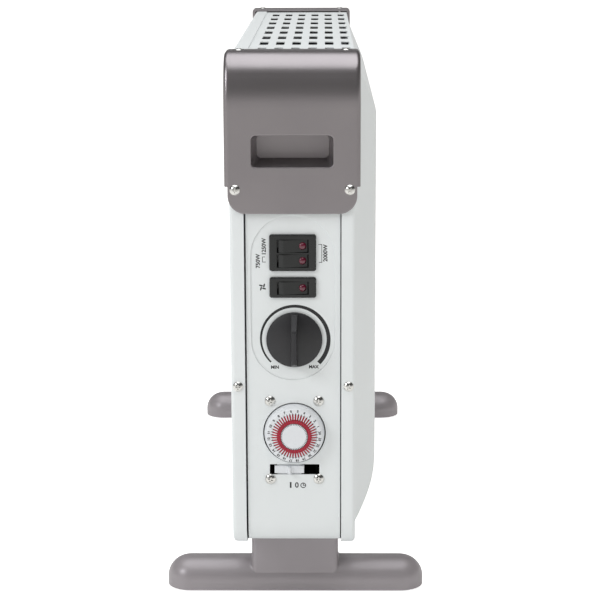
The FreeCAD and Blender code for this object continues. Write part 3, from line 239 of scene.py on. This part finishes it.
def buildRolledGroup():
    # Rolled or drawn metal: streaks along X crossed with the spangle of zinc.
    group, start, end = newGroup("rolledMetal", ["Streak Scale", "Spangle Scale"])
    squeeze = group.nodes.new("ShaderNodeMapping")
    squeeze.inputs["Scale"].default_value = patterns["streakStretch"]
    streak = group.nodes.new("ShaderNodeTexNoise")
    streak.inputs["Detail"].default_value = patterns["streakDetail"]
    spangle = group.nodes.new("ShaderNodeTexVoronoi")
    blend = group.nodes.new("ShaderNodeMath")
    blend.operation = "MULTIPLY_ADD"
    blend.inputs[1].default_value = patterns["spangleShare"]
    split = group.nodes.new("ShaderNodeSeparateColor")
    portion = group.nodes.new("ShaderNodeMath")
    portion.operation = "MULTIPLY"
    portion.inputs[1].default_value = patterns["streakShare"]
    links = group.links
    links.new(start.outputs["Vector"], squeeze.inputs["Vector"])
    links.new(squeeze.outputs[0], streak.inputs["Vector"])
    links.new(start.outputs["Streak Scale"], streak.inputs["Scale"])
    links.new(start.outputs["Vector"], spangle.inputs["Vector"])
    links.new(start.outputs["Spangle Scale"], spangle.inputs["Scale"])
    links.new(spangle.outputs["Color"], split.inputs[0])
    links.new(split.outputs[0], blend.inputs[0])
    links.new(streak.outputs["Fac"], portion.inputs[0])
    links.new(portion.outputs[0], blend.inputs[2])
    links.new(streak.outputs["Fac"], end.inputs["Height"])
    links.new(blend.outputs[0], end.inputs["Drift"])
    return group


grainGroup = buildGrainGroup()
rolledGroup = buildRolledGroup()

# Each finish: two colours that drift into each other, a range of roughness and a fine relief in metres.
# Moulded and sprayed ones have a fine and a broad scale, rolled ones a streak and a spangle.
finishes = {
    "casingWhite": {
        "colours": ((0.80, 0.83, 0.84), (0.77, 0.80, 0.81)),
        "rough": (0.34, 0.42), "fine": 900, "broad": 9, "relief": 0.00003},
    "galvanised": {
        "colours": ((0.62, 0.64, 0.66), (0.42, 0.44, 0.46)),
        "rough": (0.28, 0.5), "metallic": 1.0, "streak": 420, "spangle": 90, "relief": 0.00003},
    "capGrey": {
        "colours": ((0.325, 0.300, 0.308), (0.298, 0.275, 0.284)),
        "rough": (0.30, 0.36), "fine": 1500, "broad": 14, "relief": 0.00004, "metallic": 0.85},
    "footGrey": {
        "colours": ((0.350, 0.322, 0.338), (0.321, 0.295, 0.310)),
        "rough": (0.32, 0.42), "fine": 1500, "broad": 14, "relief": 0.00004, "metallic": 0.25},
    "padRubber": {
        "colours": ((0.02, 0.02, 0.02), (0.035, 0.034, 0.033)),
        "rough": (0.7, 0.85), "fine": 1200, "broad": 60, "relief": 0.00006},
    "screwNickel": {
        "colours": ((0.80, 0.79, 0.76), (0.70, 0.69, 0.66)),
        "rough": (0.16, 0.3), "metallic": 1.0, "streak": 900, "spangle": 300, "relief": 0.00001},
    "switchBlack": {
        "colours": ((0.010, 0.011, 0.011), (0.014, 0.015, 0.015)),
        "rough": (0.14, 0.20), "fine": 2400, "broad": 40, "relief": 0.00003},
    "knobGrey": {
        "colours": ((0.018, 0.018, 0.020), (0.024, 0.023, 0.026)),
        "rough": (0.40, 0.48), "fine": 2200, "broad": 40, "relief": 0.00004},
    "lensRed": {
        "colours": ((0.13, 0.004, 0.024), (0.085, 0.003, 0.016)),
        "rough": (0.04, 0.08), "fine": 500, "broad": 160, "relief": 0.00001, "coat": 1.0},
    "timerWhite": {
        "colours": ((0.765, 0.785, 0.815), (0.73, 0.75, 0.78)),
        "rough": (0.34, 0.44), "fine": 2000, "broad": 40, "relief": 0.00002},
    "timerRed": {
        "colours": ((0.43, 0.012, 0.038), (0.36, 0.010, 0.030)),
        "rough": (0.34, 0.45), "fine": 2000, "broad": 90, "relief": 0.00002},
    "innerPlastic": {
        "colours": ((0.60, 0.58, 0.52), (0.54, 0.52, 0.47)),
        "rough": (0.45, 0.6), "fine": 900, "broad": 30, "relief": 0.00004},
    "terminalBrass": {
        "colours": ((0.72, 0.52, 0.20), (0.58, 0.40, 0.15)),
        "rough": (0.25, 0.42), "metallic": 1.0, "streak": 700, "spangle": 260, "relief": 0.00001},
    "mica": {
        "colours": ((0.42, 0.33, 0.22), (0.30, 0.23, 0.15)),
        "rough": (0.35, 0.6), "streak": 300, "spangle": 140, "relief": 0.00005},
    "heatingAlloy": {
        "colours": ((0.30, 0.27, 0.25), (0.20, 0.18, 0.17)),
        "rough": (0.4, 0.6), "metallic": 1.0, "streak": 500, "spangle": 200, "relief": 0.00002},
    "motorSteel": {
        "colours": ((0.34, 0.35, 0.37), (0.24, 0.25, 0.27)),
        "rough": (0.35, 0.55), "metallic": 1.0, "streak": 600, "spangle": 200, "relief": 0.00004},
    "windingCopper": {
        "colours": ((0.60, 0.24, 0.10), (0.46, 0.17, 0.07)),
        "rough": (0.25, 0.4), "metallic": 1.0, "streak": 1400, "spangle": 400, "relief": 0.00006},
    "wireInsulation": {
        "colours": ((0.56, 0.55, 0.52), (0.50, 0.49, 0.46)),
        "rough": (0.5, 0.65), "fine": 900, "broad": 50, "relief": 0.00003},
    "printBlack": {
        "colours": ((0.010, 0.010, 0.011), (0.016, 0.016, 0.018)),
        "rough": (0.4, 0.5), "fine": 3000, "broad": 120, "relief": 0.000005},
}


def makeFinish(name, look):
    material = bpy.data.materials.new(name)
    material.use_nodes = True
    tree = material.node_tree
    shader = tree.nodes["Principled BSDF"]
    shader.inputs["Metallic"].default_value = look.get("metallic", 0.0)
    shader.inputs["Coat Weight"].default_value = look.get("coat", 0.0)
    place = tree.nodes.new("ShaderNodeTexCoord")
    pattern = tree.nodes.new("ShaderNodeGroup")
    if "fine" in look:
        pattern.node_tree = grainGroup
        pattern.inputs["Fine Scale"].default_value = look["fine"]
        pattern.inputs["Broad Scale"].default_value = look["broad"]
    else:
        pattern.node_tree = rolledGroup
        pattern.inputs["Streak Scale"].default_value = look["streak"]
        pattern.inputs["Spangle Scale"].default_value = look["spangle"]
    tree.links.new(place.outputs["Object"], pattern.inputs["Vector"])
    colour = tree.nodes.new("ShaderNodeMix")
    colour.data_type = "RGBA"
    colour.inputs[mixSockets["first"]].default_value = look["colours"][0] + (1,)
    colour.inputs[mixSockets["second"]].default_value = look["colours"][1] + (1,)
    tree.links.new(pattern.outputs["Drift"], colour.inputs[0])
    tree.links.new(colour.outputs[mixSockets["result"]], shader.inputs["Base Color"])
    rough = tree.nodes.new("ShaderNodeMapRange")
    rough.inputs["To Min"].default_value, rough.inputs["To Max"].default_value = look["rough"]
    tree.links.new(pattern.outputs["Drift"], rough.inputs["Value"])
    tree.links.new(rough.outputs[0], shader.inputs["Roughness"])
    bump = tree.nodes.new("ShaderNodeBump")
    bump.inputs["Strength"].default_value = patterns["bumpStrength"]
    bump.inputs["Distance"].default_value = look["relief"]
    tree.links.new(pattern.outputs["Height"], bump.inputs["Height"])
    tree.links.new(bump.outputs[0], shader.inputs["Normal"])
    return material


materials = {name: makeFinish(name, look) for name, look in finishes.items()}
print("finishes made:", len(materials))

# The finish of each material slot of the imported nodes.
slotFinish = {
    "casing_white": "casingWhite", "galvanised": "galvanised", "cap_grey": "capGrey",
    "foot_grey": "footGrey", "pad_rubber": "padRubber", "screw_nickel": "screwNickel",
    "switch_black": "switchBlack", "knob_grey": "knobGrey", "lens_red": "lensRed",
    "timer_white": "timerWhite", "timer_red": "timerRed", "inner_plastic": "innerPlastic",
    "terminal_brass": "terminalBrass", "mica": "mica", "heating_alloy": "heatingAlloy",
    "motor_steel": "motorSteel", "winding_copper": "windingCopper", "wire_insulation": "wireInsulation",
}


def dressNodes():
    for part in frame["record"]["subparts"]:
        for holder in nodes[part["node"]].material_slots:
            holder.material = materials[slotFinish[part["material_slot"]]]


dressNodes()
print("nodes dressed")

# Seen from the control end: right is -Y and up is +Z, and ink stands a hair out of its surface.
inkFrame = Matrix(((0, 0, -1, 0), (-1, 0, 0, 0), (0, 1, 0, 0), (0, 0, 0, 1)))
ink = {
    "thickness": 0.05 * mm,
    "lift": 0.01 * mm,
    "letterScale": 1.38,      # font size over capital height
    "letterSteps": 3,
}
panelSink = 1.2 * mm       # how far the control panel sinks in between its rims
recessDepth = 0.8 * mm     # of the pressing round the switches and the knob
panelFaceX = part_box("control_end_panel")[0].x + panelSink
recessFaceX = panelFaceX + recessDepth

panelPrint = {
    "faceX": recessFaceX,
    "knobCentre": (0.9, 210.3),                   # to the right, up, in millimetres
    "arcInner": 23.8,
    "arcStart": 25.0,
    "arcEnd": 27.0,
    "arcFrom": 225,
    "arcSweep": 270,
    "arcSteps": 90,
    # Each word with its centre, height, turn in degrees and how much its strokes are thickened.
    "words": [("MIN", (-13.5, 189.0), 2.4, 0, 0.13), ("MAX", (15.1, 189.3), 2.4, 0, 0.13),
              ("750W", (-25.3, 268.9), 3.0, 90, 0.13), ("1250W", (-20.9, 279.6), 3.0, 90, 0.13),
              ("2000W", (23.9, 274.8), 3.0, 90, 0.13)],
    "lineWidth": 0.42,
    "lines": [[(-20.4, 272.0), (-22.1, 272.0), (-22.1, 268.2), (-19.9, 268.2)],
              [(19.0, 281.2), (21.2, 281.2), (21.2, 267.9), (19.2, 267.9)]],
}


def inkPiece(name, sheets, body):
    # Joins flat meshes, each with its place, into one thin printed piece.
    shape = bmesh.new()
    for mesh, place in sheets:
        part = mesh.copy()
        part.transform(place)
        shape.from_mesh(part)
        bpy.data.meshes.remove(part)
    bmesh.ops.recalc_face_normals(shape, faces=shape.faces)
    mesh = meshFrom(shape, name)
    mesh.materials.append(materials["printBlack"])
    piece = bpy.data.objects.new(name, mesh)
    bpy.context.scene.collection.objects.link(piece)
    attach(piece, body)


def shifted(x, y, z=0):
    # A move in millimetres.
    return Matrix.Translation((x * mm, y * mm, z * mm))


def turned(degrees):
    return Matrix.Rotation(math.radians(degrees), 4, "Z")


def letters(words, height, weight):
    # Words as a thin closed mesh, centred on the origin in the XY plane.
    curve = bpy.data.curves.new("letters", "FONT")
    curve.body = words
    curve.size = height * mm * ink["letterScale"]
    curve.align_x = "CENTER"
    curve.align_y = "CENTER"
    curve.extrude = ink["thickness"] / 2
    curve.offset = weight * mm
    curve.resolution_u = ink["letterSteps"]
    holder = bpy.data.objects.new("letters", curve)
    bpy.context.scene.collection.objects.link(holder)
    bpy.context.view_layer.update()
    mesh = bpy.data.meshes.new_from_object(holder.evaluated_get(bpy.context.evaluated_depsgraph_get()))
    bpy.data.objects.remove(holder)
    bpy.data.curves.remove(curve)
    return mesh


def bar(start, end, width):
    # A straight printed line between two points, in millimetres.
    along = (Vector(end) - Vector(start)) * mm
    shape = bmesh.new()
    bmesh.ops.create_cube(shape, size=1)
    size = (along.length + width * mm, width * mm, ink["thickness"])
    bmesh.ops.scale(shape, vec=size, verts=shape.verts)
    middle = (Vector(start) + Vector(end)) * mm / 2
    turn = Matrix.Rotation(math.atan2(along.y, along.x), 4, "Z")
    return meshFrom(shape, "inkBar"), Matrix.Translation((middle.x, middle.y, 0)) @ turn


def knobArc():
    # A band that widens clockwise from the low end of the scale to the high end.
    look = panelPrint
    shape = bmesh.new()
    first = math.radians(look["arcFrom"])
    ends = [shape.verts.new((math.cos(first) * r * mm, math.sin(first) * r * mm, 0))
            for r in (look["arcInner"], look["arcStart"])]
    edge = shape.edges.new(ends)
    bmesh.ops.spin(shape, geom=[edge] + ends, cent=(0, 0, 0), axis=(0, 0, 1),
                   angle=-math.radians(look["arcSweep"]), steps=look["arcSteps"], use_merge=False)
    middle = (look["arcInner"] + look["arcStart"]) / 2 * mm
    for vert in shape.verts:
        if vert.co.length > middle:
            swept = (look["arcFrom"] - math.degrees(math.atan2(vert.co.y, vert.co.x))) % 360
            share = swept / look["arcSweep"] if swept < look["arcSweep"] + 1 else 0
            vert.co *= 1 + share * (look["arcEnd"] / look["arcStart"] - 1)
    walls = bmesh.ops.extrude_face_region(shape, geom=list(shape.faces))
    raised = [part for part in walls["geom"] if isinstance(part, bmesh.types.BMVert)]
    bmesh.ops.translate(shape, verts=raised, vec=(0, 0, ink["thickness"]))
    centre = shifted(*look["knobCentre"])
    return meshFrom(shape, "knobArc"), centre @ Matrix.Translation((0, 0, -ink["thickness"] / 2))


fanSign = {
    "centre": (-22.2, 249.6),
    "blades": 4,
    "bladeLength": 3.0,
    "bladeWidth": 1.15,
    "bladeOut": 1.6,          # from the sign's centre to a blade's
    "firstBlade": 45,
    "lean": 30,
    "segments": 20,
}


def fanBlades():
    # Four oval blades, each leaning away from the spoke it sits on.
    look = fanSign
    size = (look["bladeLength"] * mm, look["bladeWidth"] * mm, 1)
    sheets = []
    for i in range(look["blades"]):
        shape = bmesh.new()
        bmesh.ops.create_cone(shape, cap_ends=True, segments=look["segments"], radius1=0.5, radius2=0.5,
                              depth=ink["thickness"])
        bmesh.ops.scale(shape, vec=size, verts=shape.verts)
        spoke = turned(i * 360 / look["blades"] + look["firstBlade"]) @ shifted(look["bladeOut"], 0)
        place = shifted(*look["centre"]) @ spoke @ turned(look["lean"])
        sheets.append((meshFrom(shape, "fanBlade"), place))
    return sheets


def onFace(x):
    # Carries a print laid out in the XY plane to a face that looks along -X.
    return Matrix.Translation((x - ink["lift"], 0, 0)) @ inkFrame


def printPanel():
    look = panelPrint
    place = onFace(look["faceX"])
    sheets = [knobArc()] + fanBlades()
    for words, centre, height, turn, weight in look["words"]:
        sheets.append((letters(words, height, weight), shifted(*centre) @ turned(turn)))
    for points in look["lines"]:
        sheets += [bar(a, b, look["lineWidth"]) for a, b in zip(points, points[1:])]
    inkPiece("panelPrint", [(mesh, place @ spot) for mesh, spot in sheets], "casing")


modePrint = {
    "faceX": panelFaceX,
    "height": 98.0,
    "on": -2.3,
    "onWeight": 0.34,
    "off": 2.3,
    "offWeight": 0.14,
    "letterHeight": 4.2,
    "clock": 7.1,
    "clockRadius": 1.8,
    "clockSides": 20,
    "clockLine": 0.55,
    "longHand": 1.2,
    "shortHand": 0.96,
}


def printMode():
    look = modePrint
    place = onFace(look["faceX"])
    tall, level = look["letterHeight"], look["height"]
    sheets = [(letters("I", tall, look["onWeight"]), shifted(look["on"], level)),
              (letters("0", tall, look["offWeight"]), shifted(look["off"], level))]
    centre = Vector((look["clock"], look["height"]))
    corners = [centre + Vector((math.cos(a), math.sin(a))) * look["clockRadius"]
               for a in (i * 2 * math.pi / look["clockSides"] for i in range(look["clockSides"] + 1))]
    sheets += [bar(a, b, look["clockLine"]) for a, b in zip(corners, corners[1:])]
    sheets += [bar(centre, centre + Vector((0, look["longHand"])), look["clockLine"]),
               bar(centre, centre + Vector((look["shortHand"], 0)), look["clockLine"])]
    inkPiece("modePrint", [(mesh, place @ spot) for mesh, spot in sheets], "casing")


dialPrint = {
    "centre": (0.7, 138.8),
    "hours": 24,
    "numeralRadius": 18.95,
    "numeralHeight": 1.85,
    "weight": 0.09,
    "proud": 8.0,             # the height of the ring under the numerals, out of the panel
    "tilt": 7.4,              # the ring falls away outwards
    "zero": -5.53,            # the hour that stands at the top, counted backwards
    # painted shadow: a black dash at the outer end of each red tappet, standing in for the shade the
    # raised tappets cast
    "tipShadowRadius": 17.1,
    "tipShadowLength": 0.5,
    "dashWidth": 0.42,
    "tipShadowProud": 8.26,
    "hubRadius": 9.35,
    "hubProud": 10.6,
    "hubTick": 0.5,
    "clearance": 0.05,
}


def printDial():
    look = dialPrint
    middle = onFace(panelFaceX) @ shifted(*look["centre"])
    lean = Matrix.Rotation(math.radians(-look["tilt"]), 4, "X")
    numeralSpot = shifted(0, look["numeralRadius"], look["proud"] + look["clearance"])
    tipShadowSpot = shifted(0, look["tipShadowRadius"], look["tipShadowProud"])
    hubSpot = shifted(0, look["hubRadius"], look["hubProud"] + look["clearance"])
    numbers, tipShadows, rim = [], [], []
    for hour in range(1, look["hours"] + 1):
        turn = turned((hour + look["zero"]) * 360 / look["hours"])
        numeral = letters(str(hour), look["numeralHeight"], look["weight"])
        numbers.append((numeral, middle @ turn @ numeralSpot @ lean))
    # a painted shadow dash at the outer end of each tappet, and a printed dot on the hub's rim
    for half in range(2 * look["hours"]):
        turn = turned((half + 0.5) * 180 / look["hours"])    # midway between two half hours
        dash, place = bar((0, -look["tipShadowLength"] / 2), (0, look["tipShadowLength"] / 2), look["dashWidth"])
        tipShadows.append((dash, middle @ turn @ tipShadowSpot @ lean @ place))
        dot, place = bar((0, -look["hubTick"] / 2), (0, look["hubTick"] / 2), look["dashWidth"])
        rim.append((dot, middle @ turn @ hubSpot @ place))
    inkPiece("dialNumerals", numbers, "timer_dial")
    inkPiece("dialTipShadows", tipShadows, "timer_dial")
    inkPiece("hubTicks", rim, "casing")


printPanel()
printMode()
printDial()
print("printing laid down")
